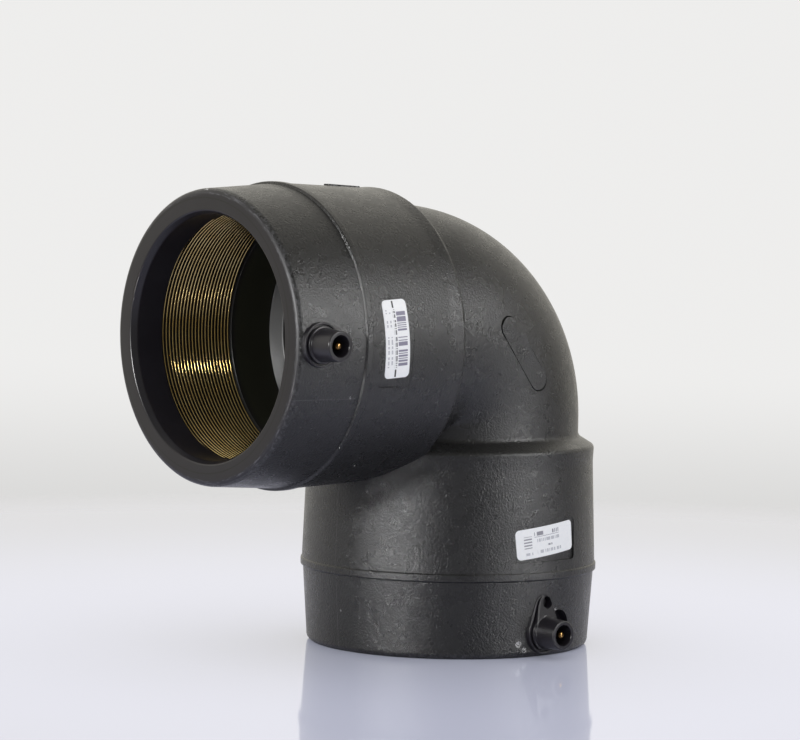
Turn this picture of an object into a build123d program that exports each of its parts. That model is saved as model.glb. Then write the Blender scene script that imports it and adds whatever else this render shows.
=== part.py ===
"""Electrofusion elbow, 90 degrees, for polyethylene pressure pipe of 110 mm.

One black moulding holds two sockets. Each socket has a resistance wire wound into its
bore, which melts the plastic onto the pipe when current runs from pin to pin. It is one
wire: it starts at the lower terminal, winds the lower socket, crosses over inside the
wall at the inner corner, winds the upper socket and ends at the upper terminal.

The elbow stands on the mouth of its lower socket. The origin is the middle of that mouth,
Z points up along the lower socket, the upper socket opens towards -X, and both terminals
and both labels face -Y.
"""

import os
from math import cos, pi, radians, sin

from build123d import *

# Pipe, and the socket that takes it
pipe_radius = 55.0
pipe_gap = 0.6
socket_depth = 81.0
lead_in_depth = 6.0
lead_in_width = 1.6
stop_width = 9.6

# Wall of the socket outside its bore, from the mouth to behind the ridge
mouth_wall = 11.8
lip_size = 3.0
ridge_start = 33.5
ridge_foot_wall = 13.8
ridge_rise = 3.1
ridge_wall = 15.1
ridge_top = 3.0
ridge_fall = 0.5
barrel_wall = 14.6

# Back of the socket, beyond the stop that the pipe comes up against
waist_wall = 12.8
waist_length = 7.0
shoulder_wall = 13.2
shoulder_length = 7.5
shoulder_edge = 1.2
cone_length = 4.7

# Bend
neck_wall = 15.1
neck_length = 7.8
bend_radius = 40.1

# Heating wire, drawn with a four-sided section and straight chords
wire_width = 1.0
wire_gap = 0.1
crest_gap = 0.05
winding_start = 17.7
winding_pitch = 1.9
winding_turns = 20.75
chords_per_turn = 16
crossover_depth = 3.0

# Terminals, from the bore of the shroud outwards and from the flange up
terminal_place = 11.6
shroud_bore_radius = 4.8
shroud_bore_depth = 12.5
shroud_wall = 1.95
shroud_taper = 0.75
shroud_length = 11.4
shroud_edge = 0.5
collar_width = 0.8
collar_rise = 1.0
groove_width = 0.7
groove_depth = 1.0
flange_width = 1.0
flange_rise = 1.9
pin_radius = 2.0
pin_recess = 1.0
pin_point = 0.5
pin_root_radius = 2.6

# Fusion indicator and the pocket beside the shroud, both placed from the lower terminal
indicator_side = 0.3
indicator_rise = 14.0
indicator_radius = 2.7
indicator_depth = 8.3
boss_wall = 2.9
boss_rise = 1.3
rim_step = 0.4
post_gap = 0.8
post_height = 3.0
pocket_side = 9.0
pocket_rise = 1.9
pocket_radius = 7.7
pocket_depth = 7.3

# Label pads, and the labels in them
pad_place = 54.6
pad_length = 40.0
pad_width = 19.5
pad_corner = 2.0
pad_floor_wall = 13.5
label_end_margin = 2.5
label_side_margin = 2.75
label_corner = 2.2
label_thickness = 0.2
barcode_label_shift = 1.8
barcode_label_tilt = -3.6
data_label_tilt = 6.3

# Oval pad on the side of the bend
oval_length = 40.0
oval_width = 11.0
oval_tilt = -51.0
oval_offset = 5.4
oval_depth = 1.1

# Radii and places along the socket that follow
bore_radius = pipe_radius + pipe_gap
waterway_radius = bore_radius - stop_width
neck_radius = waterway_radius + neck_wall
mouth_radius = bore_radius + mouth_wall
ridge_radius = bore_radius + ridge_wall
shoulder_radius = bore_radius + shoulder_wall
pad_floor_radius = bore_radius + pad_floor_wall
ridge_crest = ridge_start + ridge_rise
ridge_end = ridge_crest + ridge_top
waist_start = socket_depth + waist_length
shoulder_start = waist_start + shoulder_length
neck_start = shoulder_start + cone_length

# The lip is round: two flats that meet on its arc
lip_middle = lip_size * (1 - cos(radians(45)))

# The upper socket is the lower one mirrored, from x, z to z - centre, x + centre
bend_height = neck_start + neck_length
centre_to_mouth = bend_height + bend_radius
mirror_plane = Plane(origin=(0, 0, centre_to_mouth), z_dir=(1, 0, -1))
bend_axis = Axis((-bend_radius, 0, bend_height), (0, -1, 0))

# A winding's chords come nearest to the axis at their middles, just clear of the pipe
winding_radius = (bore_radius + crest_gap) / cos(pi / chords_per_turn) + wire_width / 2
winding_end = winding_start + winding_pitch * winding_turns
recess_radius = winding_radius + wire_width / 2 + wire_gap
recess_start = winding_start - wire_width / 2 - wire_gap
recess_end = winding_end + wire_width / 2 + wire_gap
crossover_radius = recess_radius + crossover_depth

# Terminal heights, measured from the axis of the socket
pin_foot = winding_radius + wire_width / 2
flange_height = mouth_radius + flange_rise
collar_height = flange_height + collar_rise
shroud_height = collar_height + shroud_length
shroud_floor = shroud_height - shroud_bore_depth
groove_floor = flange_height - groove_depth
boss_height = collar_height + boss_rise
indicator_floor = boss_height - indicator_depth
pocket_floor = boss_height - pocket_depth

# Terminal radii
shroud_radius = shroud_bore_radius + shroud_wall
foot_radius = shroud_radius + shroud_taper
collar_radius = foot_radius + collar_width
groove_radius = collar_radius + groove_width
flange_radius = groove_radius + flange_width
boss_radius = indicator_radius + boss_wall

indicator_place = terminal_place + indicator_rise
pocket_place = terminal_place + pocket_rise
label_length = pad_length - 2 * label_end_margin
label_width = pad_width - 2 * label_side_margin
wire_slot_length = recess_start - terminal_place + 2 * wire_width


def mirrored(point):
    """The same point on the upper half."""
    return Vector(point.Z - centre_to_mouth, point.Y, point.X + centre_to_mouth)


def winding_point(chord):
    """The winding sets off from -Y, below the terminal, and ends at -X."""
    turn = chord / chords_per_turn
    angle = 2 * pi * turn - pi / 2
    height = winding_start + winding_pitch * turn
    return Vector(winding_radius * cos(angle), winding_radius * sin(angle), height)


def both_halves(lower):
    """A route through the lower half, over the inner corner and back through the upper half."""
    corner = Vector(-crossover_radius, 0, centre_to_mouth - crossover_radius)
    return lower + [corner] + [mirrored(point) for point in reversed(lower)]


def teardrop(height, around_terminal, around_indicator):
    """An outline at a height, pulled like a band round the lower terminal and the fusion indicator."""
    with BuildSketch(Plane.XZ.offset(height)) as outline:
        with Locations((0, terminal_place)):
            Circle(around_terminal)
        with Locations((indicator_side, indicator_place)):
            Circle(around_indicator)
        make_hull()
    return outline.sketch


winding = [winding_point(chord) for chord in range(round(winding_turns * chords_per_turn) + 1)]
wire_start = Vector(0, -winding_radius, terminal_place)
riser_foot = Vector(-crossover_radius, 0, winding_end + crossover_depth)

# Outside of one socket, with its terminal and its label pad
with BuildPart() as socket_half:
    with BuildSketch(Plane.XZ) as outline:
        with BuildLine():
            Polyline(
                (0, 0),
                (mouth_radius - lip_size, 0),
                (mouth_radius - lip_middle, lip_middle),
                (mouth_radius, lip_size),
                (bore_radius + ridge_foot_wall, ridge_start),
                (ridge_radius, ridge_crest),
                (ridge_radius, ridge_end),
                (bore_radius + barrel_wall, ridge_end + ridge_fall),
                (bore_radius + waist_wall, waist_start),
                (shoulder_radius, shoulder_start),
                (neck_radius, neck_start),
                (neck_radius, bend_height),
                (0, bend_height),
                close=True,
            )
        make_face()
        shoulder = outline.vertices().sort_by_distance((shoulder_radius, shoulder_start))[0]
        chamfer(shoulder, shoulder_edge)
    revolve(axis=Axis.Z)

    # Flange, groove, collar and tapered tube of the terminal shroud
    with BuildSketch(Plane.XZ.offset(pin_foot)):
        with Locations((0, terminal_place)):
            Circle(flange_radius)
    extrude(amount=flange_height - pin_foot)
    with BuildSketch(Plane.XZ.offset(groove_floor)):
        with Locations((0, terminal_place)):
            Circle(groove_radius)
    extrude(amount=groove_depth, mode=Mode.SUBTRACT)
    with BuildSketch(Plane.XZ.offset(groove_floor)):
        with Locations((0, terminal_place)):
            Circle(collar_radius)
    extrude(amount=collar_height - groove_floor)
    with BuildSketch(Plane.XZ.offset(collar_height)):
        with Locations((0, terminal_place)):
            Circle(foot_radius)
    with BuildSketch(Plane.XZ.offset(shroud_height)):
        with Locations((0, terminal_place)):
            Circle(shroud_radius)
    loft()
    tip = socket_half.faces().sort_by(Axis.Y)[0]
    chamfer(tip.edges(), shroud_edge)

    # Label pad: what stands outside the pad's floor is taken away
    with BuildSketch(Plane.XZ):
        with Locations((0, pad_place)):
            RectangleRounded(pad_length, pad_width, pad_corner)
    pad_block = extrude(amount=ridge_radius + pad_width, mode=Mode.PRIVATE)
    pad_core = Cylinder(
        pad_floor_radius, neck_start, align=(Align.CENTER, Align.CENTER, Align.MIN), mode=Mode.PRIVATE
    )
    add(pad_block - pad_core, mode=Mode.SUBTRACT)

# Everything that is open inside: bores, winding recesses, waterway, shroud bores and pin holes
with BuildPart() as hollow:
    with BuildSketch(Plane.XZ):
        with BuildLine():
            Polyline(
                (0, 0),
                (bore_radius + lead_in_width, 0),
                (bore_radius, lead_in_depth),
                (bore_radius, recess_start),
                (recess_radius, recess_start),
                (recess_radius, recess_end),
                (bore_radius, recess_end),
                (bore_radius, socket_depth),
                (waterway_radius, socket_depth),
                (waterway_radius, bend_height),
                (0, bend_height),
                close=True,
            )
        make_face()
    revolve(axis=Axis.Z)

    # Slot for the wire, from under the pin to the winding
    with BuildSketch(Plane.XZ.offset(pipe_radius)):
        with Locations((0, (terminal_place + recess_start) / 2)):
            Rectangle(wire_width + 2 * wire_gap, wire_slot_length)
    extrude(amount=pin_foot - pipe_radius)
    with BuildSketch(Plane.XZ.offset(pin_foot)):
        with Locations((0, terminal_place)):
            Circle(pin_root_radius)
    extrude(amount=shroud_floor - pin_foot)
    with BuildSketch(Plane.XZ.offset(shroud_floor)):
        with Locations((0, terminal_place)):
            Circle(shroud_bore_radius)
    extrude(amount=shroud_bore_depth)
    mirror(about=mirror_plane)

    # Waterway round the bend: the part of its disc outside the bend's axis, a quarter turn
    with BuildSketch(Plane.XY.offset(bend_height)):
        Circle(waterway_radius)
        with Locations((-bend_radius - waterway_radius, 0)):
            Rectangle(2 * waterway_radius, 2 * waterway_radius, mode=Mode.SUBTRACT)
    revolve(axis=bend_axis, revolution_arc=90)

    # Channel that the wire crosses over in
    with BuildLine():
        Polyline(*both_halves([winding[-1], riser_foot]))
    with BuildSketch(Plane(origin=winding[-1], z_dir=riser_foot - winding[-1])):
        Circle(wire_width / 2 + wire_gap)
    sweep(transition=Transition.RIGHT)

with BuildPart() as elbow_body:
    add(socket_half.part)
    mirror(about=mirror_plane)
    with BuildSketch(Plane.XY.offset(bend_height)):
        Circle(neck_radius)
        with Locations((-bend_radius - neck_radius, 0)):
            Rectangle(2 * neck_radius, 2 * neck_radius, mode=Mode.SUBTRACT)
    revolve(axis=bend_axis, revolution_arc=90)

    # Boss that joins the lower shroud to the fusion indicator, with the flange and the groove led round both
    extrude(teardrop(pin_foot, flange_radius, boss_radius + 2 * rim_step), flange_height - pin_foot)
    extrude(teardrop(groove_floor, groove_radius, boss_radius + rim_step), groove_depth, mode=Mode.SUBTRACT)
    extrude(teardrop(pin_foot, foot_radius, boss_radius), boss_height - pin_foot)
    with BuildSketch(Plane.XZ.offset(groove_floor)):
        with Locations((0, terminal_place)):
            Circle(collar_radius)
    extrude(amount=collar_height - groove_floor)

    # Well of the indicator, with its post, and the pocket beside the shroud
    with BuildSketch(Plane.XZ.offset(indicator_floor)):
        with Locations((indicator_side, indicator_place)):
            Circle(indicator_radius)
    extrude(amount=indicator_depth, mode=Mode.SUBTRACT)
    with BuildSketch(Plane.XZ.offset(indicator_floor)):
        with Locations((indicator_side, indicator_place)):
            Circle(indicator_radius - post_gap)
    extrude(amount=post_height)
    with BuildSketch(Plane.XZ.offset(pocket_floor)):
        with Locations((pocket_side, pocket_place)):
            Circle(pocket_radius)
    pocket_block = extrude(amount=pocket_depth, mode=Mode.PRIVATE)
    boss_block = extrude(teardrop(pocket_floor, foot_radius, boss_radius), pocket_depth, mode=Mode.PRIVATE)
    add(pocket_block - boss_block, mode=Mode.SUBTRACT)

    # Oval pad on the side of the bend
    oval_reach = (bend_radius + oval_offset) * cos(radians(45))
    with BuildSketch(Plane.XZ.offset(neck_radius - oval_depth)):
        with Locations((oval_reach - bend_radius, oval_reach + bend_height)):
            SlotOverall(oval_length, oval_width, rotation=oval_tilt)
    extrude(amount=2 * oval_depth, mode=Mode.SUBTRACT)

    add(hollow.part, mode=Mode.SUBTRACT)

with BuildPart() as heating_wire:
    with BuildLine():
        Polyline(*both_halves([wire_start] + winding + [riser_foot]))
    with BuildSketch(Plane(origin=wire_start, x_dir=(1, 0, 0), z_dir=(0, 0, 1))):
        RegularPolygon(wire_width / 2, 4)
    sweep(transition=Transition.RIGHT)

# The moulding holds a pin by its root, and the plug goes over what stands in the shroud
with BuildPart() as terminal_pin_lower:
    with BuildSketch(Plane.XZ.offset(pin_foot)):
        with Locations((0, terminal_place)):
            Circle(pin_root_radius)
    extrude(amount=shroud_floor - pin_foot)
    with BuildSketch(Plane.XZ.offset(shroud_floor)):
        with Locations((0, terminal_place)):
            Circle(pin_radius)
    extrude(amount=shroud_bore_depth - pin_recess)
    chamfer(terminal_pin_lower.faces().sort_by(Axis.Y)[0].edges(), pin_point)

with BuildPart() as terminal_pin_upper:
    mirror(terminal_pin_lower.part, about=mirror_plane)


def label(shift, tilt):
    """A label on the lower socket's pad: a sleeve on the pad's floor, cut to the label's outline."""
    upright = (Align.CENTER, Align.CENTER, Align.MIN)
    with BuildPart() as sheet:
        Cylinder(pad_floor_radius + label_thickness, neck_start, align=upright)
        Cylinder(pad_floor_radius, neck_start, align=upright, mode=Mode.SUBTRACT)
        with BuildSketch(Plane.XZ):
            with Locations((shift, pad_place)):
                RectangleRounded(label_length, label_width, label_corner, rotation=tilt)
        extrude(amount=ridge_radius + label_width, mode=Mode.INTERSECT)
    return sheet.part


with BuildPart() as data_label:
    add(label(0, data_label_tilt))

with BuildPart() as barcode_label:
    mirror(label(barcode_label_shift, barcode_label_tilt), about=mirror_plane)

pieces = {
    "elbow_body": elbow_body,
    "heating_wire": heating_wire,
    "terminal_pin_lower": terminal_pin_lower,
    "terminal_pin_upper": terminal_pin_upper,
    "data_label": data_label,
    "barcode_label": barcode_label,
}
os.makedirs("parts", exist_ok=True)
for name, piece in pieces.items():
    piece.part.label = name
    export_step(piece.part, f"parts/{name}.step")
    print(name, round(piece.part.volume / 1000, 2), "cm3")
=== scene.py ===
# %% [markdown]
# An elbow for joining pipe by electrofusion: one black moulding with two sockets at a right angle. A wire
# wound into each bore melts the plastic onto the pipe when current runs through it from terminal to
# terminal. The solids come from the CAD model and stay as the frame, and everything below is placed in
# that same frame.

# %% Load the frame
from math import cos, pi, radians, sin, tau

import bmesh
import bpy
from mathutils import Matrix, Vector


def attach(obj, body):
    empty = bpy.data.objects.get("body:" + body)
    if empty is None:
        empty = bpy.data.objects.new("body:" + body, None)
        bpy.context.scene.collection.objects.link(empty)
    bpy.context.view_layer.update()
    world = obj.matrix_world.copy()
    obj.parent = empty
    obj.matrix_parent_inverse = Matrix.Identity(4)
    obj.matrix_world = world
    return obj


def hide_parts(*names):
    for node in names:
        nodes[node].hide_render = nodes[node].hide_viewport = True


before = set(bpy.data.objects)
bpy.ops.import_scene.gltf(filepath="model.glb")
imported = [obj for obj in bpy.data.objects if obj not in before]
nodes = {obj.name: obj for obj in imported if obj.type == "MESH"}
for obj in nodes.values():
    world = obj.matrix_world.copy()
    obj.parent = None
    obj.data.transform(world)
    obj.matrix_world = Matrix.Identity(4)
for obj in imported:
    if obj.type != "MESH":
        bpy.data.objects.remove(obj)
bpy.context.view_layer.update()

print("solids:", sorted(nodes))

# %% [markdown]
# The sizes of the moulding are those of the CAD source, apart from a few that are corrected by about a
# millimetre. They are written in millimetres, and mm turns them into Blender's metres where a shape is
# made. The upper socket is the lower one mirrored in the plane between them, and one matrix says so: it
# swaps x and z and shifts both by the distance from centre to mouth.

# %% Sizes that the pieces share
mm = 0.001
bore_radius, socket_depth, waterway_radius = 55.6, 81.0, 46.0
mouth_radius, ridge_radius, neck_radius = 67.1, 70.7, 61.1
bend_radius, bend_height = 40.1, 108.0
centre_to_mouth = bend_height + bend_radius
terminal_place, shroud_floor, shroud_height = 11.6, 69.2, 81.7
foot_radius, collar_radius, groove_radius, flange_radius = 7.5, 8.3, 9.0, 10.0
groove_floor, flange_height, collar_height, boss_height = 68.3, 69.3, 70.3, 71.6
indicator_side, indicator_place, indicator_radius = 0.9, 25.6, 2.8
pad_place, pad_floor_radius = 54.6, 69.1
pad_length, pad_width, pad_corner, lower_pad_side = 40, 19.5, 2, -0.9
centre = centre_to_mouth * mm
to_upper = Matrix(((0, 0, 1, -centre), (0, 1, 0, 0), (1, 0, 0, centre), (0, 0, 0, 1)))
print("from centre to mouth", centre_to_mouth, "mm")

# %% [markdown]
# The photograph is taken with a long lens from a little above the upper socket. The camera is set by the
# way it looks rather than by hand: a bearing round the elbow, a height angle, a distance, and a slight
# roll, because the picture leans by one degree. A long lens from far away keeps the two mouths nearly the
# same size.

# %% Camera
def direction(bearing, height):
    """The way from the elbow to something that stands at this bearing and height, in degrees."""
    b, h = radians(bearing), radians(height)
    return Vector((sin(b) * cos(h), -cos(b) * cos(h), sin(h)))


camera_bearing, camera_height, camera_roll = -40.65, 3.36, 1.04
camera_target, camera_distance = Vector((-32.45, 0, 130.73)) * mm, 1.59085
camera_data = bpy.data.cameras.new("camera")
camera_data.sensor_width = 36
camera_data.lens = 151.685
camera_data.clip_end = 60
camera = bpy.data.objects.new("camera", camera_data)
bpy.context.scene.collection.objects.link(camera)
back = direction(camera_bearing, camera_height)
turn = back.to_track_quat("Z", "Y").to_matrix().to_4x4() @ Matrix.Rotation(radians(camera_roll), 4, "Z")
camera.matrix_world = Matrix.Translation(camera_target + back * camera_distance) @ turn
bpy.context.scene.camera = camera
print("camera stands at", [round(v, 3) for v in camera.location])

# %% [markdown]
# Shader maths is easier to read as sums than as nodes. This small class wraps a socket, and its operators
# add the Math nodes. A second class holds one material and makes any other node in one call: its type,
# its settings, and then the values or links of its sockets.

# %% Shader sums
class Value:
    """One output socket that can be added, multiplied and so on."""

    def __init__(self, tree, socket):
        self.tree, self.socket = tree, socket

    def maths(self, operation, *terms):
        node = self.tree.nodes.new("ShaderNodeMath")
        node.operation = operation
        for slot, term in zip(node.inputs, terms):
            plug(self.tree, slot, term)
        return Value(self.tree, node.outputs[0])

    def __add__(self, other):
        return self.maths("ADD", self, other)

    def __radd__(self, other):
        return self.maths("ADD", other, self)

    def __sub__(self, other):
        return self.maths("SUBTRACT", self, other)

    def __rsub__(self, other):
        return self.maths("SUBTRACT", other, self)

    def __mul__(self, other):
        return self.maths("MULTIPLY", self, other)

    def __rmul__(self, other):
        return self.maths("MULTIPLY", other, self)

    def __truediv__(self, other):
        return self.maths("DIVIDE", self, other)

    def over(self, level):
        return self.maths("GREATER_THAN", self, level)

    def under(self, level):
        return self.maths("LESS_THAN", self, level)

    def size(self):
        return self.maths("ABSOLUTE", self)

    def root(self):
        return self.maths("SQRT", self)

    def top(self, other):
        return self.maths("MAXIMUM", self, other)

    def between(self, low, high):
        return self.over(low) * self.under(high)

    def near(self, level, reach):
        """1 within reach of a level, 0 elsewhere."""
        return (self - level).size().under(reach)

    def cell(self, step):
        """The number of the step that the value falls in."""
        return self.maths("FLOOR", self / step)

    def waves(self, step):
        """Goes from 0 up to 1 and back again in each step."""
        return self.maths("PINGPONG", self / (step / 2), 1)

    def fade(self, start, end, low=0.0, high=1.0):
        """A smooth change from low to high as the value goes from start to end."""
        node = self.tree.nodes.new("ShaderNodeMapRange")
        node.interpolation_type = "SMOOTHSTEP"
        for slot, term in zip(node.inputs, (self, start, end, low, high)):
            plug(self.tree, slot, term)
        return Value(self.tree, node.outputs[0])


def plug(tree, slot, term):
    """Sets a socket to a number or colour, or links it."""
    if isinstance(term, Value):
        tree.links.new(term.socket, slot)
    elif term is not None:
        slot.default_value = term


class Finish:
    """One material with its shader, and the means to add nodes to it."""

    def __init__(self, name, colour, roughness, **constants):
        self.material = bpy.data.materials.new(name)
        self.material.use_nodes = True
        self.tree = self.material.node_tree
        self.shader = self.tree.nodes["Principled BSDF"]
        self.set("Base Color", (*colour, 1))
        self.set("Roughness", roughness)
        for key, value in constants.items():
            self.set(key.replace("_", " "), value)

    def node(self, kind, settings=None, output=0, **sockets):
        """Adds a node: settings first, then its sockets by name, or by number as in s0 and s1."""
        made = self.tree.nodes.new("ShaderNode" + kind)
        for key, value in (settings or {}).items():
            setattr(made, key, value)
        for key, term in sockets.items():
            slot = made.inputs[int(key[1:])] if key[1:].isdigit() else made.inputs[key.replace("_", " ")]
            plug(self.tree, slot, term)
        return Value(self.tree, made.outputs[output])

    def set(self, name, term):
        plug(self.tree, self.shader.inputs[name], term)

    def place(self):
        """The object's own coordinates, in metres, as a vector and as its three numbers."""
        where = self.node("TexCoord", output="Object")
        split = self.tree.nodes.new("ShaderNodeSeparateXYZ")
        self.tree.links.new(where.socket, split.inputs[0])
        return where, *(Value(self.tree, out) for out in split.outputs)

    def noise(self, where, scale, detail=2.0, roughness=0.5):
        return self.node("TexNoise", Vector=where, Scale=scale, Detail=detail, Roughness=roughness)

    def chance(self, number):
        """A random value between 0 and 1 for each whole number."""
        return self.node("TexWhiteNoise", {"noise_dimensions": "1D"}, W=number)

    def mix(self, factor, first, second):
        """Two colours mixed by a factor."""
        first, second = (term if isinstance(term, Value) else (*term, 1) for term in (first, second))
        return self.node("Mix", {"data_type": "RGBA"}, output=2, s0=factor, s6=first, s7=second)

    def bump(self, height, strength, distance, under=None):
        return self.node("Bump", Height=height, Strength=strength, Distance=distance, Normal=under)


# %% [markdown]
# The floor is a glossy white board, and the wall behind it is white too. The camera looks along the board
# at a low angle, so what counts is where the board ends: a round board ends at the same distance
# whichever side it is seen from. Its edge fades out softly and shows the world, which is the wall. The
# board mirrors the elbow's foot, as in the photograph. A faint bluish glow, which the camera alone sees,
# brings it up to the photograph's white.

# %% Floor
def new_object(made, name, *materials):
    """A bmesh made into an object at the origin."""
    mesh = bpy.data.meshes.new(name)
    made.to_mesh(mesh)
    made.free()
    piece = bpy.data.objects.new(name, mesh)
    bpy.context.scene.collection.objects.link(piece)
    for material in materials:
        mesh.materials.append(material)
    return piece


board_radius = 0.78
near_white, far_painted_shade = (0.62, 0.635, 0.8), (0.45, 0.455, 0.53)
board = Finish("glossy white board", near_white, 0.06, Emission_Color=(0.8, 0.85, 1, 1))
board.set("Emission Strength", 0.14 * board.node("LightPath", output="Is Camera Ray"))
where, x, y, z = board.place()
reach = (x * x + y * y).root()
# Painted shade: the board's colour darkens from its middle outwards.
board.set("Base Color", board.mix(reach.fade(0.2, 0.6), near_white, far_painted_shade))
white = Value(board.tree, board.shader.outputs[0])
clear = board.node("BsdfTransparent")
edge = board.node("MixShader", s0=reach.fade(0.6, 0.76), s1=white, s2=clear)
board.tree.links.new(edge.socket, board.tree.nodes["Material Output"].inputs["Surface"])
made = bmesh.new()
bmesh.ops.create_circle(made, cap_ends=True, cap_tris=True, segments=96, radius=board_radius)
floor = new_object(made, "floor", board.material)
print("floor laid at z = 0")

# %% [markdown]
# Black plastic shows its shape by what it mirrors, so the world is the studio's walls. It sheds an even
# light on everything. For the camera it is a white wall. For whatever mirrors it, it is pale behind the
# elbow and dim before it, where a studio is dark, and it gets darker towards the ceiling.

# %% World
world = bpy.data.worlds.new("studio")
world.use_nodes = True
bpy.context.scene.world = world
walls = world.node_tree
light_path = walls.nodes.new("ShaderNodeLightPath")
split = walls.nodes.new("ShaderNodeSeparateXYZ")
walls.links.new(walls.nodes.new("ShaderNodeTexCoord").outputs["Generated"], split.inputs[0])
way_x, way_y, way_z = (Value(walls, out) for out in split.outputs)
rays = "Is Camera Ray", "Is Glossy Ray", "Is Transmission Ray"
seen, mirrored_in, passed = (Value(walls, light_path.outputs[name]) for name in rays)
wall_middle = radians(162)
behind = way_x * sin(wall_middle) + way_y * -cos(wall_middle)
studio = 0.2 + way_z.fade(0, 0.35, 0.56, 0.82) * behind.fade(-0.35, 0.7) * (1 - way_z.fade(0.65, 1.25))
even, low_white, high_white = 0.98, 0.7, 0.855
mirror_rays = mirrored_in.top(passed)
strength = even * (1 - seen) + way_z.fade(-0.105, -0.055, low_white, high_white) * seen
shown = walls.nodes["Background"]
tint = walls.nodes.new("ShaderNodeMix")
tint.data_type = "RGBA"
for place, term in {0: mirror_rays, 6: (1, 0.995, 0.985, 1), 7: (1, 0.965, 0.87, 1)}.items():
    plug(walls, tint.inputs[place], term)
plug(walls, shown.inputs["Color"], Value(walls, tint.outputs[2]))
plug(walls, shown.inputs["Strength"], strength * (1 - mirror_rays) + studio * mirror_rays)
bpy.context.scene.view_settings.view_transform = "Standard"
print("walls: an even light of", even)

# %% [markdown]
# Four soft boxes stand before the elbow, and they show as gloss alone: the walls shed enough even light,
# and a lamp that lit the paper of the labels too would bleach it. The left box makes the streak down the
# lower socket. Polished metal would throw so strong a lamp back as a white block, so the wire gets a weak
# one of its own at nearly the same place, and glints twice: directly, and by way of the board. The wire's
# own cell says which lamp lights it. The right box lights the flank of the upper socket, and the low one
# the right flank of the lower socket.

# %% Soft boxes
def soft_box(name, bearing, height, distance, width, tall, power):
    """A lamp at a bearing and height round the elbow, turned to face it."""
    lamp = bpy.data.lights.new(name, "AREA")
    lamp.shape = "RECTANGLE"
    lamp.size, lamp.size_y, lamp.energy = width, tall, power
    box = bpy.data.objects.new(name, lamp)
    bpy.context.scene.collection.objects.link(box)
    box.visible_diffuse = False
    facing = direction(bearing, height)
    aim = facing.to_track_quat("Z", "Y").to_matrix().to_4x4()
    box.matrix_world = Matrix.Translation(camera_target + facing * distance) @ aim
    return box


left_box = soft_box("left box", -84.5, 12, 2.26, 0.28, 0.22, 50)
wire_box = soft_box("wire box", -83, 12.3, 2.26, 0.3, 0.13, 3.6)
soft_box("right box", 31, 23, 2.2, 0.85, 0.24, 22)
soft_box("low box", 20, 6, 2.2, 0.5, 0.3, 13)

# %% [markdown]
# The moulding leaves the mould with a satin, spark-eroded grain outside: crests a little under a
# millimetre apart that glitter where they face a lamp. The mould closes in the plane through both axes
# and has an insert round each terminal, and these leave fine lines. The lip of each mouth is scuffed from
# handling. All of it goes by the distance from each socket's mouth and axis, so the material works both
# out first. A few pale specks have places of their own: some are chips from knocks, and some are
# painted glints.

# %% Spark-eroded plastic
def along_and_round(finish):
    """For each socket, lower first: depth from the mouth, side from the middle, radius from the axis."""
    where, x, y, z = finish.place()
    lower = z, x, (x * x + y * y).root()
    side = z - centre
    return where, y, lower, (x + centre, side, (side * side + y * y).root())


black = (0.015, 0.015, 0.015)
moulded = Finish("spark-eroded black polyethylene", black, 0.36)
where, y, *sockets = along_and_round(moulded)
lines, scuffed = 0, 0
for depth, side, radius in sockets:
    insert_edge = depth.under(34 * mm) * side.size().near(24.5 * mm, 0.22 * mm) * y.under(-40 * mm)
    parting = depth.under(centre_to_mouth * mm) * y.near(0, 0.2 * mm)
    lines = insert_edge.top(parting).top(lines)
    scuffed = ((1 - depth.fade(1.2 * mm, 3.6 * mm)) * radius.over((mouth_radius - 4) * mm)).top(scuffed)
grain = moulded.noise(where, 980, 3, 0.65)
swirl = moulded.noise(where, 130, 2, 0.6)
scratches = moulded.noise(where, 700, 4, 0.7).fade(0.42, 0.66) * scuffed
moulded.set("Normal", moulded.bump(lines, 1.0, 0.2 * mm, moulded.bump(grain, 1.0, 0.34 * mm)))
flecks = moulded.noise(where, 1600, 2, 0.7).over(0.5)
# Places of pale specks in mm, each with its reach: chips from knocks, and painted glints.
chip_and_glint_places = (
    (-147.3, 2.2, 215, 1.3), (-68.5, -2.5, 19.5, 0.6), (-116.9, -64.9, 124.1, 0.6), (-14, -66.3, 6.6, 1.6),
    (-10.6, -66.6, 3.8, 1.3), (7.2, -68.4, 22, 0.7),
)
chips_and_glints = 0
for x, y, z, reach in chip_and_glint_places:
    speck_place = Vector((x, y, z)) * mm
    away = moulded.node("VectorMath", {"operation": "DISTANCE"}, output=1, s0=where, s1=speck_place)
    chips_and_glints = away.under(reach * mm).top(chips_and_glints)
colour = moulded.mix(lines, black, (0.045, 0.045, 0.045))
colour = moulded.mix(scratches, colour, (0.06, 0.06, 0.065))
# The specks are painted pale: chips, and painted glints.
moulded.set("Base Color", moulded.mix(chips_and_glints * flecks, colour, (0.5, 0.5, 0.5)))
moulded.set("Roughness", swirl.fade(0.3, 0.7, 0.25, 0.33) + 0.16 * scratches)
print("plastic with grain:", len(moulded.tree.nodes), "nodes")
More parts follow.
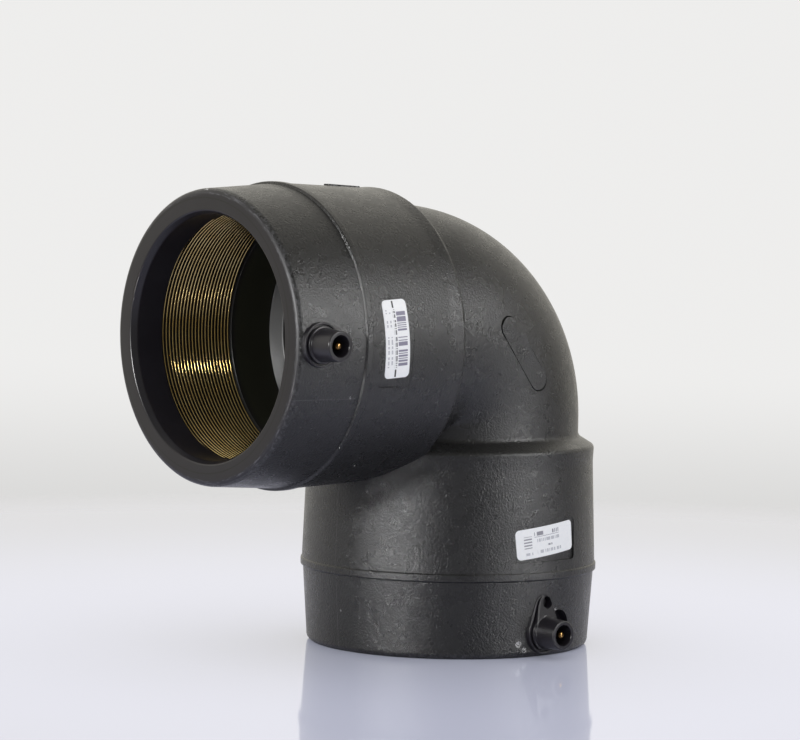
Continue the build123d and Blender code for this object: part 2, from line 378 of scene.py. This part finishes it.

# %% [markdown]
# The mouths, the bores and the terminals come from polished steel, so they are smooth, with a faint
# purple cast on the mouths. A fine ring on each mouth, a little off centre, marks where the core meets
# the mould. The rounded lips are duller and have fine scratches that run round the rim, so their noise
# goes by the angle round the axis. The stop at the end of each bore is painted lighter: a painted
# highlight where light shines in. The bore between the turns of the wire is matt, because the plastic
# closed up on the wire there, and it is painted darker: painted shade between the turns.

# %% Smooth plastic
smooth = Finish("smooth black polyethylene", (0.016, 0.0145, 0.0185), 0.3)
where, y, *sockets = along_and_round(smooth)
ring_radius, ring_off_front, ring_off_side = 62.1, 1.9, 0.8
rings, lips, faces, stop_faces_painted_lit, deep, scratches = 0, 0, 0, 0, 0, 0
for depth, side, radius in sockets:
    y_off, side_off = y - ring_off_front * mm, side - ring_off_side * mm
    ring = (y_off * y_off + side_off * side_off).root().near(ring_radius * mm, 0.3 * mm)
    rings = (depth.under(0.3 * mm) * ring).top(rings)
    lip = depth.under(3.2 * mm) * radius.fade((mouth_radius - 3.2) * mm, (mouth_radius - 2.2) * mm)
    angle = y.maths("ARCTAN2", y, side)
    round_the_rim = smooth.node("CombineXYZ", s0=angle * 14, s1=radius * 1300, s2=depth * 1300)
    scratches = (smooth.noise(round_the_rim, 1, 3, 0.6).fade(0.5, 0.72) * lip).top(scratches)
    faces = (depth.under(0.4 * mm) * radius.under((mouth_radius - 2.4) * mm)).top(faces)
    stop_faces_painted_lit = (depth.between(80.5 * mm, 83.4 * mm) * radius.under((bore_radius - 0.1) * mm)).top(stop_faces_painted_lit)
    deep = (depth.fade(56 * mm, 62 * mm) * depth.under(80.5 * mm) * radius.under(56 * mm)).top(deep)
    lips = lip.top(lips)
cloudy = smooth.noise(where, 60, 2)
smooth.set("Normal", smooth.bump(rings, -1.0, 0.3 * mm, smooth.bump(scratches, 0.4, 0.05 * mm)))
colour = smooth.mix(cloudy.fade(0.35, 0.65), (0.015, 0.0135, 0.0175), (0.018, 0.0165, 0.021))
colour = smooth.mix(faces * cloudy.fade(0.2, 0.8, 0.6, 1), colour, (0.007, 0.005, 0.009))
colour = smooth.mix(rings, colour, (0.001, 0.001, 0.001))
colour = smooth.mix(deep, colour, (0.034, 0.035, 0.024))
# The stop faces are painted lighter: a painted highlight where light shines into the bore.
colour = smooth.mix(stop_faces_painted_lit, colour, (0.075, 0.075, 0.073))
smooth.set("Base Color", smooth.mix(scratches, colour, (0.09, 0.09, 0.1)))
smooth.set("Roughness", (0.3 + 0.16 * lips).top(0.42 * stop_faces_painted_lit))
# Near-black matt plastic: painted shade between the turns of the wire and in the oval pad's groove.
matt = Finish("matt black polyethylene painted as shade", (0.008, 0.008, 0.008), 0.55, Specular_IOR_Level=0.25)
where, x, y, z = matt.place()
matt.set("Base Color", matt.mix(matt.noise(where, 500, 2), (0.006, 0.006, 0.006), (0.011, 0.01, 0.009)))
print("smooth plastic:", len(smooth.tree.nodes), "nodes, matt:", len(matt.tree.nodes))

# %% [markdown]
# Most of the moulding is round about an axis, so its outline is drawn once and turned. The outline is a
# face with one corner for each change of direction. Its corners are rounded first, where a bevel is quick
# and exact, and not the finished solid's edges. The face then goes, and its edges are spun.

# %% Turning an outline
rounding_steps = 4


def turned_solid(points, steps=64, open_height=None):
    """Turns an outline of points in mm, each radius, height and rounding, about Z.

    The edge at open_height, in metres, is left out, which leaves the solid open there.
    """
    made = bmesh.new()
    corners = [(made.verts.new((r * mm, 0, h * mm)), rounding * mm) for r, h, rounding in points]
    made.faces.new([corner for corner, rounding in corners])
    for corner, rounding in corners:
        if rounding:
            bmesh.ops.bevel(
                made, geom=[corner], offset=rounding, offset_type="OFFSET", segments=rounding_steps,
                profile=0.5, affect="VERTICES", material=-1,
            )
    bmesh.ops.delete(made, geom=made.faces[:], context="FACES_ONLY")

    def left_out(edge):
        on_axis = all(corner.co.x < 1e-7 for corner in edge.verts)
        on_top = open_height is not None and all(corner.co.z > open_height - 1e-7 for corner in edge.verts)
        return on_axis or on_top

    bmesh.ops.delete(made, geom=[edge for edge in made.edges if left_out(edge)], context="EDGES")
    bmesh.ops.spin(
        made, geom=made.verts[:] + made.edges[:], cent=(0, 0, 0), axis=(0, 0, 1), dvec=(0, 0, 0), angle=tau,
        steps=steps, use_merge=True, use_duplicate=False,
    )
    bmesh.ops.remove_doubles(made, verts=made.verts[:], dist=1e-7)
    bmesh.ops.recalc_face_normals(made, faces=made.faces[:])
    return made


# %% [markdown]
# One half of the elbow is a turned socket, cut along the plane between the halves, and an eighth of a
# turn of pipe. The cut leaves two open arcs at the foot of the bend, and a spin about the bend's own axis
# carries them round to that plane. The other half is this one mirrored, and the two close up on each
# other. The recess of the winding is only as deep as the plastic that has closed round the wire.

# %% The elbow's wall
winding_floor, recess_start, recess_end = 56.93, 17.1, 57.7
waterway_and_stop = [
    (waterway_radius, bend_height, 0), (waterway_radius, 86, 0.5), (48.5, 83.1, 0.4),
    (bore_radius, 80.8, 0.3),
]
winding_recess = [
    (bore_radius, recess_end, 0.2), (winding_floor, recess_end, 0.15), (winding_floor, recess_start, 0.15),
    (bore_radius, recess_start, 0.2),
]
lead_in_and_lip = [(bore_radius, 3, 0.5), (57.2, 0, 0.6), (mouth_radius, 0, 2.9)]
ridge_and_barrel = [
    (69.5, 36, 0.1), (ridge_radius, 36.5, 0.35), (ridge_radius, 39.6, 0.35), (70.1, 40.1, 0.15),
    (68.4, 88, 1.5), (68.8, 95.5, 1.3),
]
neck = [(neck_radius, 100.2, 1.6), (neck_radius, bend_height, 0)]
socket_outline = waterway_and_stop + winding_recess + lead_in_and_lip + ridge_and_barrel + neck
body = turned_solid(socket_outline, 160, bend_height * mm)
bmesh.ops.bisect_plane(
    body, geom=body.verts[:] + body.edges[:] + body.faces[:], dist=1e-7,
    plane_co=(-bend_radius * mm, 0, bend_height * mm), plane_no=(-1, 0, 1), clear_outer=True,
)
rim = [
    edge for edge in body.edges
    if edge.is_boundary and all(abs(corner.co.z - bend_height * mm) < 1e-6 for corner in edge.verts)
]
rim_corners = {corner for edge in rim for corner in edge.verts}
bmesh.ops.spin(
    body, geom=rim + list(rim_corners), cent=(-bend_radius * mm, 0, bend_height * mm), axis=(0, -1, 0),
    dvec=(0, 0, 0), angle=pi / 4, steps=20, use_duplicate=False,
)


def corners(parts):
    """The vertices among the parts that an operator returns."""
    return [part for part in parts if isinstance(part, bmesh.types.BMVert)]


copy = bmesh.ops.duplicate(body, geom=body.verts[:] + body.edges[:] + body.faces[:])["geom"]
bmesh.ops.transform(body, matrix=to_upper, verts=corners(copy))
bmesh.ops.remove_doubles(body, verts=body.verts[:], dist=1e-6)
bmesh.ops.recalc_face_normals(body, faces=body.faces[:])
open_edges, volume = sum(not edge.is_manifold for edge in body.edges), body.calc_volume() * 1e6
print("wall:", len(body.faces), "faces,", open_edges, "open edges,", round(volume, 1), "cm3")

# %% [markdown]
# The terminals, the label pads, the indicator and the oval pad are added and cut with booleans, as a
# mould maker would add and cut steel. All of them stand square to the front, so a tool is a round bar, or
# the bar that two round bars make when a band is pulled round them. A tool stands a little past the
# surface that it trims, so that no two faces share a plane.

# %% Tools
def facing_front(x, z):
    """Turns a shape made about Z so that it points along -Y, at this place in mm."""
    return Matrix.Translation((x * mm, 0, z * mm)) @ Matrix.Rotation(pi / 2, 4, "X")


def round_bar(x, z, radius, inner, outer, steps=64):
    """A round bar that points along -Y, from one height to another over the lower socket's axis, in mm."""
    made = bmesh.new()
    middle = Matrix.Translation((0, 0, (inner + outer) / 2 * mm))
    bmesh.ops.create_cone(
        made, cap_ends=True, segments=steps, radius1=radius * mm, radius2=radius * mm,
        depth=(outer - inner) * mm, matrix=facing_front(x, z) @ middle,
    )
    return made


def banded_bar(first, second, inner, outer, rounding=0.0):
    """A bar as wide as a band round two circles, each x, z and radius in mm, with its end edge rounded."""
    made = bmesh.new()
    for x, z, radius in (first, second):
        for height in (inner, outer):
            place = facing_front(x, z) @ Matrix.Translation((0, 0, height * mm))
            bmesh.ops.create_circle(made, segments=64, radius=radius * mm, matrix=place)
    hull = bmesh.ops.convex_hull(made, input=made.verts[:])
    loose = set(corners(hull["geom_interior"] + hull["geom_unused"]))
    bmesh.ops.delete(made, geom=list(loose), context="VERTS")
    bmesh.ops.delete(made, geom=[edge for edge in made.edges if not edge.link_faces], context="EDGES")
    bmesh.ops.dissolve_limit(made, angle_limit=radians(0.5), verts=made.verts[:], edges=made.edges[:])
    if rounding:
        limit = (-outer + 0.01) * mm
        end = [edge for edge in made.edges if all(corner.co.y < limit for corner in edge.verts)]
        bmesh.ops.bevel(
            made, geom=end, offset=rounding * mm, offset_type="OFFSET", segments=3, profile=0.5,
            affect="EDGES", material=-1,
        )
    bmesh.ops.recalc_face_normals(made, faces=made.faces[:])
    return made


def on_upper(made):
    """A copy of the tool on the upper socket."""
    made = made.copy()
    bmesh.ops.transform(made, matrix=to_upper, verts=made.verts[:])
    bmesh.ops.recalc_face_normals(made, faces=made.faces[:])
    return made


def together(*tools):
    """Several tools in one bmesh."""
    made = bmesh.new()
    for tool in tools:
        mesh = bpy.data.meshes.new("tool")
        tool.to_mesh(mesh)
        made.from_mesh(mesh)
        bpy.data.meshes.remove(mesh)
    return made


terminal_middle = (0, terminal_place)
indicator_middle = (indicator_side, indicator_place)
flange_tip = (-1.2, 24.6)
inside_wall = 58
flange = banded_bar((*terminal_middle, flange_radius), (*flange_tip, 4.9), inside_wall, flange_height, 0.35)
print("flange round terminal and indicator:", len(flange.faces), "faces")

# %% [markdown]
# A boolean modifier needs two objects. The tool becomes one for as long as the cut takes, the result is
# read back as a mesh, and both the tool and the old mesh go. Tools that don't meet go in together,
# because one boolean with four tools is quicker than four with one. The faces that a tool leaves get the
# finish of the steel that made them: number 1 is the smooth one.

# %% Booleans
def combine(piece, operation, *tools, index=1):
    """Cuts or adds tools, whose faces get the piece's material of that index."""
    made = together(*tools)
    for face in made.faces:
        face.material_index = index
    tool = new_object(made, "tool", *piece.data.materials)
    modifier = piece.modifiers.new(operation.lower(), "BOOLEAN")
    modifier.operation, modifier.solver, modifier.object = operation, "MANIFOLD", tool
    result = bpy.data.meshes.new_from_object(piece.evaluated_get(bpy.context.evaluated_depsgraph_get()))
    piece.modifiers.clear()
    before, piece.data = piece.data, result
    bpy.data.meshes.remove(before)
    bpy.data.objects.remove(tool)


def cut_tool(made, operation, *tools):
    """A tool that is itself trimmed by other tools first."""
    block = new_object(made, "block", moulded.material)
    combine(block, operation, *tools, index=0)
    made = bmesh.new()
    made.from_mesh(block.data)
    bpy.data.objects.remove(block)
    return made


moulding = new_object(body, "moulding", moulded.material, smooth.material, matt.material)
for face in moulding.data.polygons:
    x, y, z = face.center
    low_radius, low_depth = (x * x + y * y) ** 0.5, z
    high_radius, high_depth = (y * y + (z - centre) ** 2) ** 0.5, x + centre
    inside_low = low_radius < (mouth_radius - 1) * mm and low_depth < (socket_depth + 5) * mm
    inside_high = high_radius < (mouth_radius - 1) * mm and high_depth < (socket_depth + 5) * mm
    if inside_low or inside_high:
        radius, depth = (low_radius, low_depth) if inside_low else (high_radius, high_depth)
        # Faces behind the wire get the matt finish: painted shade between the turns.
        behind_wire = (recess_start - 0.1) * mm < depth < (recess_end + 0.1) * mm
        face.material_index = 2 if behind_wire and radius > (bore_radius + 0.3) * mm else 1
combine(moulding, "UNION", flange)
print("flange added:", len(moulding.data.polygons), "faces")

# %% [markdown]
# A label sits in a pad with a floor that follows the socket's curve. The tool is a flat plate with
# rounded corners, pulled outwards and hollowed by a drum of the floor's radius. The oval pad on the bend
# has a flat floor and a fine groove along its lower edge, which is the difference of two ovals, the inner
# one a little off centre.

# %% Label pads and oval pad
def label_pad(side):
    """The tool of a label pad whose middle is this far to the side, in mm."""
    plate, drum = bmesh.new(), bmesh.new()
    place = facing_front(side, pad_place) @ Matrix.Translation((0, 0, 60 * mm))
    stretch = Matrix.Diagonal((pad_length * mm, pad_width * mm, 1, 1))
    bmesh.ops.create_grid(plate, x_segments=1, y_segments=1, size=0.5)
    bmesh.ops.transform(plate, matrix=place @ stretch, verts=plate.verts[:])
    bmesh.ops.bevel(
        plate, geom=plate.verts[:], offset=pad_corner * mm, offset_type="OFFSET", segments=6, profile=0.5,
        affect="VERTICES", material=-1,
    )
    outer_side = bmesh.ops.extrude_face_region(plate, geom=plate.faces[:])["geom"]
    bmesh.ops.translate(plate, vec=(0, -16 * mm, 0), verts=corners(outer_side))
    bmesh.ops.recalc_face_normals(plate, faces=plate.faces[:])
    bmesh.ops.create_cone(
        drum, cap_ends=True, segments=160, radius1=pad_floor_radius * mm, radius2=pad_floor_radius * mm,
        depth=80 * mm, matrix=Matrix.Translation((0, 0, pad_place * mm)),
    )
    return cut_tool(plate, "DIFFERENCE", drum)


oval_reach = (bend_radius + 5.4) * cos(pi / 4)
oval_x, oval_z, oval_tilt = oval_reach - bend_radius - 0.9, oval_reach + bend_height + 0.9, radians(-53)
oval_radius, oval_half_length = 5.5, 15.3


def oval(radius, shift, inner, outer):
    """The oval's bar: its two end circles in mm, shifted to the side."""
    x, z = oval_x + shift, oval_z
    across, up = oval_half_length * cos(oval_tilt), oval_half_length * sin(oval_tilt)
    return banded_bar((x - across, z - up, radius), (x + across, z + up, radius), inner, outer)


oval_groove = cut_tool(oval(oval_radius, 0, 55, 62), "DIFFERENCE", oval(4.95, 0.8, 54, 63))
pads = label_pad(lower_pad_side), on_upper(label_pad(0)), oval(oval_radius, 0, 60, 66)
combine(moulding, "DIFFERENCE", *pads, index=0)
# The groove gets the matt finish: painted shade in the groove.
combine(moulding, "DIFFERENCE", oval_groove, index=2)
print("pads cut:", len(moulding.data.polygons), "faces")

# %% [markdown]
# Each terminal is a tapered tube with a collar, in a groove inside a flange. At the lower terminal a boss
# joins the tube to the fusion indicator, so there the flange and the groove run round both. The pin that
# the control unit's plug goes over stands in the tube.

# %% Terminal shrouds
def front_turned(x, z, *points):
    """A turned solid that points along -Y at this place. A point is radius, height and rounding in mm."""
    made = turned_solid(points)
    bmesh.ops.transform(made, matrix=facing_front(x, z), verts=made.verts[:])
    return made


tip_radius = 6.75
collar_and_tube = (
    (collar_radius, collar_height, 0.35), (foot_radius, collar_height, 0.3),
    (tip_radius, shroud_height, 0.6), (0, shroud_height, 0),
)
shroud = front_turned(
    *terminal_middle, (0, inside_wall, 0), (collar_radius, inside_wall, 0), *collar_and_tube
)
upper_shroud = front_turned(
    *terminal_middle, (0, inside_wall, 0), (flange_radius, inside_wall, 0),
    (flange_radius, flange_height, 0.35), (groove_radius, flange_height, 0.2),
    (groove_radius, groove_floor, 0.15), (collar_radius, groove_floor, 0.15), *collar_and_tube,
)
groove = banded_bar((*terminal_middle, groove_radius), (*flange_tip, 4.4), groove_floor - 0.8, 74)
boss = banded_bar((*terminal_middle, foot_radius), (-0.2, 25, 4), inside_wall, boss_height, 0.5)
for corner in boss.verts:
    if corner.co.y < -flange_height * mm:
        corner.co.y += max(0, corner.co.z - 15 * mm) * 0.2
seat = round_bar(*terminal_middle, flange_radius - 0.5, 65, 74)
wire_slot = bmesh.new()
slot_size = Matrix.Diagonal((1.2 * mm, 3.2 * mm, 7.5 * mm, 1))
bmesh.ops.create_cube(
    wire_slot, size=1, matrix=Matrix.Translation((0, -56.1 * mm, 14.4 * mm)) @ slot_size
)
combine(moulding, "DIFFERENCE", groove, on_upper(seat), wire_slot, on_upper(wire_slot))
combine(moulding, "UNION", boss, on_upper(upper_shroud))
combine(moulding, "UNION", shroud)
print("shrouds added:", len(moulding.data.polygons), "faces")

# %% [markdown]
# A low plain plate lies on top of the upper socket. It is a block with rounded edges whose top slopes
# with the socket, and it sinks into the wall, so a union leaves only the part that stands proud.

# %% Top plate
top_plate = bmesh.new()
plate_middle, plate_slope = -70 * mm, 0.9 * mm
plate_place = Matrix.Translation((plate_middle, 0, centre + 66.9 * mm))
plate_size = Matrix.Diagonal((18.5 * mm, 4 * mm, 6 * mm, 1))
bmesh.ops.create_cube(top_plate, size=1, matrix=plate_place @ plate_size)
for corner in top_plate.verts:
    if corner.co.z > centre + 68 * mm and corner.co.x > plate_middle:
        corner.co.z -= plate_slope
bmesh.ops.bevel(
    top_plate, geom=top_plate.edges[:], offset=0.25 * mm, offset_type="OFFSET", segments=3, profile=0.5,
    affect="EDGES", material=-1,
)
combine(moulding, "UNION", top_plate, index=0)
print("top plate added:", len(moulding.data.polygons), "faces")

# %% [markdown]
# The fusion indicator is a post in a well: the post rises when the joint fuses. A pocket beside the boss
# keeps the wall from growing too thick there. The bores of the tubes are cut last, with a small chamfer
# at the rim.

# %% Indicator, pocket and bores
shroud_bore_radius, rim_radius, post_radius = 4.8, 5.1, 1.9
shroud_bore = front_turned(
    *terminal_middle, (0, shroud_floor, 0), (shroud_bore_radius, shroud_floor, 0.3),
    (shroud_bore_radius, 81.45, 0.2), (rim_radius, 81.8, 0), (rim_radius, 84, 0), (0, 84, 0),
)
pocket = cut_tool(
    round_bar(9.2, 13.6, 8, 61, 74), "DIFFERENCE",
    banded_bar((*terminal_middle, foot_radius + 0.02), (-0.2, 25, 4.02), inside_wall, 78),
)
well = round_bar(*indicator_middle, indicator_radius, 63.3, 74, 40)
combine(moulding, "DIFFERENCE", pocket, well, shroud_bore, on_upper(shroud_bore))
post = front_turned(
    *indicator_middle, (0, 62.5, 0), (post_radius, 62.5, 0), (post_radius, 66.3, 0.4), (0, 66.3, 0)
)
combine(moulding, "UNION", post)
print("moulding:", len(moulding.data.polygons), "faces")

# %% [markdown]
# A boolean leaves long flat faces beside small ones. Weighted normals let the large faces rule the
# shading, so the socket stays even up to the edge of a terminal, and edges sharper than the angle stay
# crisp.

# %% Smooth faces and sharp edges
def smooth_shaded(piece, angle=32):
    """Shades a piece smooth, and keeps the edges sharper than the angle."""
    piece.data.shade_smooth()
    piece.data.set_sharp_from_angle(angle=radians(angle))
    weighted = piece.modifiers.new("weighted normals", "WEIGHTED_NORMAL")
    weighted.keep_sharp = True


def hand_over(piece, slot, *replaced):
    """Says which solids a piece stands for, by hiding them, and hangs the piece on the root. The slot is
    not used.
    """
    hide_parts(*replaced)
    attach(piece, "root")


smooth_shaded(moulding)
hand_over(moulding, "black_polyethylene", "elbow_body")
print("moulding stands for elbow_body")

# %% [markdown]
# The heating wire is a round wire in a helix. A spin with a step along its axis makes a helix in one go:
# a small circle is swept round the bore and climbs by one pitch a turn. It lies more than half sunk in
# the plastic, so only a strip of each turn shows. Light linking keeps the left box off the wire, and the
# wire box off the rest.

# %% Heating wire
wire_radius, coil_radius, pitch, turns, coil_start = 0.42, 57.1, 1.9, 20.75, 17.7
steps_a_turn = 96
coil = bmesh.new()
bmesh.ops.create_circle(
    coil, segments=10, radius=wire_radius * mm,
    matrix=Matrix.Translation((0, -coil_radius * mm, coil_start * mm)) @ Matrix.Rotation(pi / 2, 4, "Y"),
)
bmesh.ops.spin(
    coil, geom=coil.verts[:] + coil.edges[:], cent=(0, 0, 0), axis=(0, 0, 1), angle=tau * turns,
    dvec=(0, 0, pitch * mm / steps_a_turn), steps=round(turns * steps_a_turn), use_duplicate=False,
)
lead_top, lead_foot = coil_start * mm, terminal_place * mm
bmesh.ops.create_cone(
    coil, cap_ends=True, segments=10, radius1=wire_radius * mm, radius2=wire_radius * mm,
    depth=lead_top - lead_foot,
    matrix=Matrix.Translation((0, -coil_radius * mm, (lead_top + lead_foot) / 2)),
)
bmesh.ops.holes_fill(coil, edges=[edge for edge in coil.edges if edge.is_boundary], sides=10)
bmesh.ops.recalc_face_normals(coil, faces=coil.faces[:])
brass = Finish("drawn brass wire", (0.95, 0.74, 0.33), 0.08, Metallic=1.0)
where, x, y, z = brass.place()
tarnish = brass.noise(where, 120, 2, 0.5)
brass.set("Base Color", brass.mix(tarnish.fade(0.35, 0.65), (0.96, 0.75, 0.34), (0.88, 0.65, 0.26)))
brass.set("Roughness", tarnish.fade(0.3, 0.7, 0.07, 0.095))
wire = new_object(together(coil, on_upper(coil)), "wire_winding", brass.material)
smooth_shaded(wire, 60)
for box, state in ((left_box, "EXCLUDE"), (wire_box, "INCLUDE")):
    lit = bpy.data.collections.new("lit by the " + box.name)
    lit.objects.link(wire)
    lit.collection_objects[0].light_linking.link_state = state
    box.light_linking.receiver_collection = lit
hand_over(wire, "resistance_wire", "heating_wire")
print("wire:", len(wire.data.polygons), "faces")

# %% [markdown]
# A brass pin stands in each shroud, 4 mm thick, turned on a lathe with a domed end. Turning leaves fine
# rings on it. The noise goes by the distance from the lower pin's axis, so it makes rings there, and fine
# specks on the upper pin.

# %% Terminal pins
# The pins' brass is painted very dark: painted shade for the dim side of the studio that the domes mirror.
turned_brass = Finish("turned brass", (0.16, 0.09, 0.03), 0.2, Metallic=1.0)
where, x, y, z = turned_brass.place()
low_pin = (x * x + (z - terminal_place * mm) * (z - terminal_place * mm)).root()
marks = turned_brass.noise(turned_brass.node("CombineXYZ", s0=low_pin, s1=y), 4000, 2)
turned_brass.set("Normal", turned_brass.bump(marks, 0.4, 0.02 * mm))
pale_brass_painted_shade, dark_brass_painted_shade = (0.2, 0.12, 0.045), (0.1, 0.055, 0.02)
turned_brass.set("Base Color", turned_brass.mix(marks.fade(0.3, 0.7), pale_brass_painted_shade, dark_brass_painted_shade))
pin_radius, root_radius, pin_foot, pin_tip = 2, 2.6, 57.8, 80.7
pin_outline = [
    (0, pin_foot, 0), (root_radius, pin_foot, 0), (root_radius, shroud_floor, 0),
    (pin_radius, shroud_floor, 0), (pin_radius, pin_tip, 1.6), (0, pin_tip, 0),
]
for name, place in {"terminal_pin_lower": Matrix.Identity(4), "terminal_pin_upper": to_upper}.items():
    pin = turned_solid(pin_outline, 32)
    bmesh.ops.transform(pin, matrix=place @ facing_front(*terminal_middle), verts=pin.verts[:])
    bmesh.ops.recalc_face_normals(pin, faces=pin.faces[:])
    pin = new_object(pin, name.replace("terminal_pin", "plug_pin"), turned_brass.material)
    smooth_shaded(pin, 40)
    hand_over(pin, "terminal_brass", name)
print("pins: 2, with their tips at", pin_tip, "mm")

# %% [markdown]
# The labels are the CAD's own sheets, so they only need a print. Each print is made of plain bars and
# dashes in the label's own measure: along it and across it, from its middle. A random value for each step
# along a row says whether there is ink, which gives uneven bars and dashes that look printed and say
# nothing.

# %% Labels
def label_stock(name, tilt, upper):
    """White label stock, and the places along and across the label, which the tilt turns, in degrees."""
    stock = Finish(name, (0.86, 0.87, 0.9), 0.55, Specular_IOR_Level=0.3)
    where, x, y, z = stock.place()
    if upper:
        side, rise = z - centre, x + (centre_to_mouth - pad_place) * mm
    else:
        side, rise = x, z - pad_place * mm
    turned = radians(tilt)
    return stock, where, side * cos(turned) + rise * sin(turned), rise * cos(turned) - side * sin(turned)


def dashes(stock, place, step, share, seed):
    """Ink in a random share of the steps along a row."""
    return stock.chance(place.cell(step * mm) + seed).under(share)


def block(along, across, left, right, bottom, top):
    """A rectangle on the label, in mm."""
    return along.between(left * mm, right * mm) * across.between(bottom * mm, top * mm)


def printed(stock, where, *inks):
    """Lays each ink on the label in turn: its mask and its colour."""
    fibre = stock.noise(where, 900, 3, 0.6)
    colour = stock.mix(fibre.fade(0.3, 0.7), (0.95, 0.96, 0.97), (0.91, 0.93, 0.95))
    for mask, ink in inks:
        colour = stock.mix(mask, colour, ink)
    stock.set("Base Color", colour)
    stock.set("Normal", stock.bump(fibre, 0.2, 0.02 * mm))


violet_grey, light_grey = (0.26, 0.25, 0.33), (0.55, 0.56, 0.6)
row_grey, dark_grey = (0.14, 0.14, 0.16), (0.03, 0.03, 0.035)
stock, where, along, across = label_stock("label stock with bars", -3.6, upper=True)
along = along - 1.8 * mm
bars = block(along, across, -12.2, 13.4, 0.5, 5.8) * dashes(stock, along, 0.45, 0.5, 3)
end_marks = block(along, across, -17, -13.6, -1.3, -0.4) + block(along, across, 13.9, 17, -1.3, -0.4)
row = block(along, across, -12.8, 13.2, -1.5, -0.1)
row = row * dashes(stock, along, 0.5, 0.55, 40) * dashes(stock, across, 0.45, 0.7, 9)
faint = block(along, across, -13, 14.5, -5.6, -4.7) + block(along, across, -12, 12.5, -3.6, -2.7)
faint = faint * dashes(stock, along, 0.6, 0.5, 70)
inks = (bars, violet_grey), (faint, light_grey), (row, row_grey), (end_marks, dark_grey)
printed(stock, where, *inks)
plain_bars = stock.material

stock, where, along, across = label_stock("label stock with lines", 6.3, upper=False)
heading = block(along, across, -7.5, -2.2, 3.2, 5) + block(along, across, 3.4, 8, 3.2, 5)
heading = heading * dashes(stock, along, 0.55, 0.6, 5)
rule = block(along, across, -7.5, 8, 2.5, 2.8)
second = block(along, across, -7.2, 8.5, 0.2, 1.7) * dashes(stock, along, 0.5, 0.55, 21)
third = block(along, across, 0.6, 3.2, -2.3, -1.4) * dashes(stock, along, 0.5, 0.6, 33)
foot = block(along, across, -6.2, 9.5, -5.2, -3.7) * dashes(stock, along, 0.5, 0.5, 47)
left_foot = block(along, across, -13.6, -8.6, -5.4, -4.2) * dashes(stock, along, 0.55, 0.5, 61)
stripes = block(along, across, -13.4, -9, -2.2, 3.4) * across.waves(1.4 * mm).over(0.5)
grey, rule_grey, stripe_grey = (0.3, 0.3, 0.34), (0.45, 0.45, 0.5), (0.35, 0.35, 0.39)
printed(
    stock, where, (heading, grey), (rule, rule_grey), (second, light_grey), (third, grey),
    (foot, light_grey), (left_foot, light_grey), (stripes, stripe_grey),
)
for name, material in {"barcode_label": plain_bars, "data_label": stock.material}.items():
    slots = nodes[name].data.materials
    for place in range(len(slots)):
        slots[place] = material
print("labels printed: 2")

# %% [markdown]
# The last cell only marks the end.

# %% The end
print("the end")
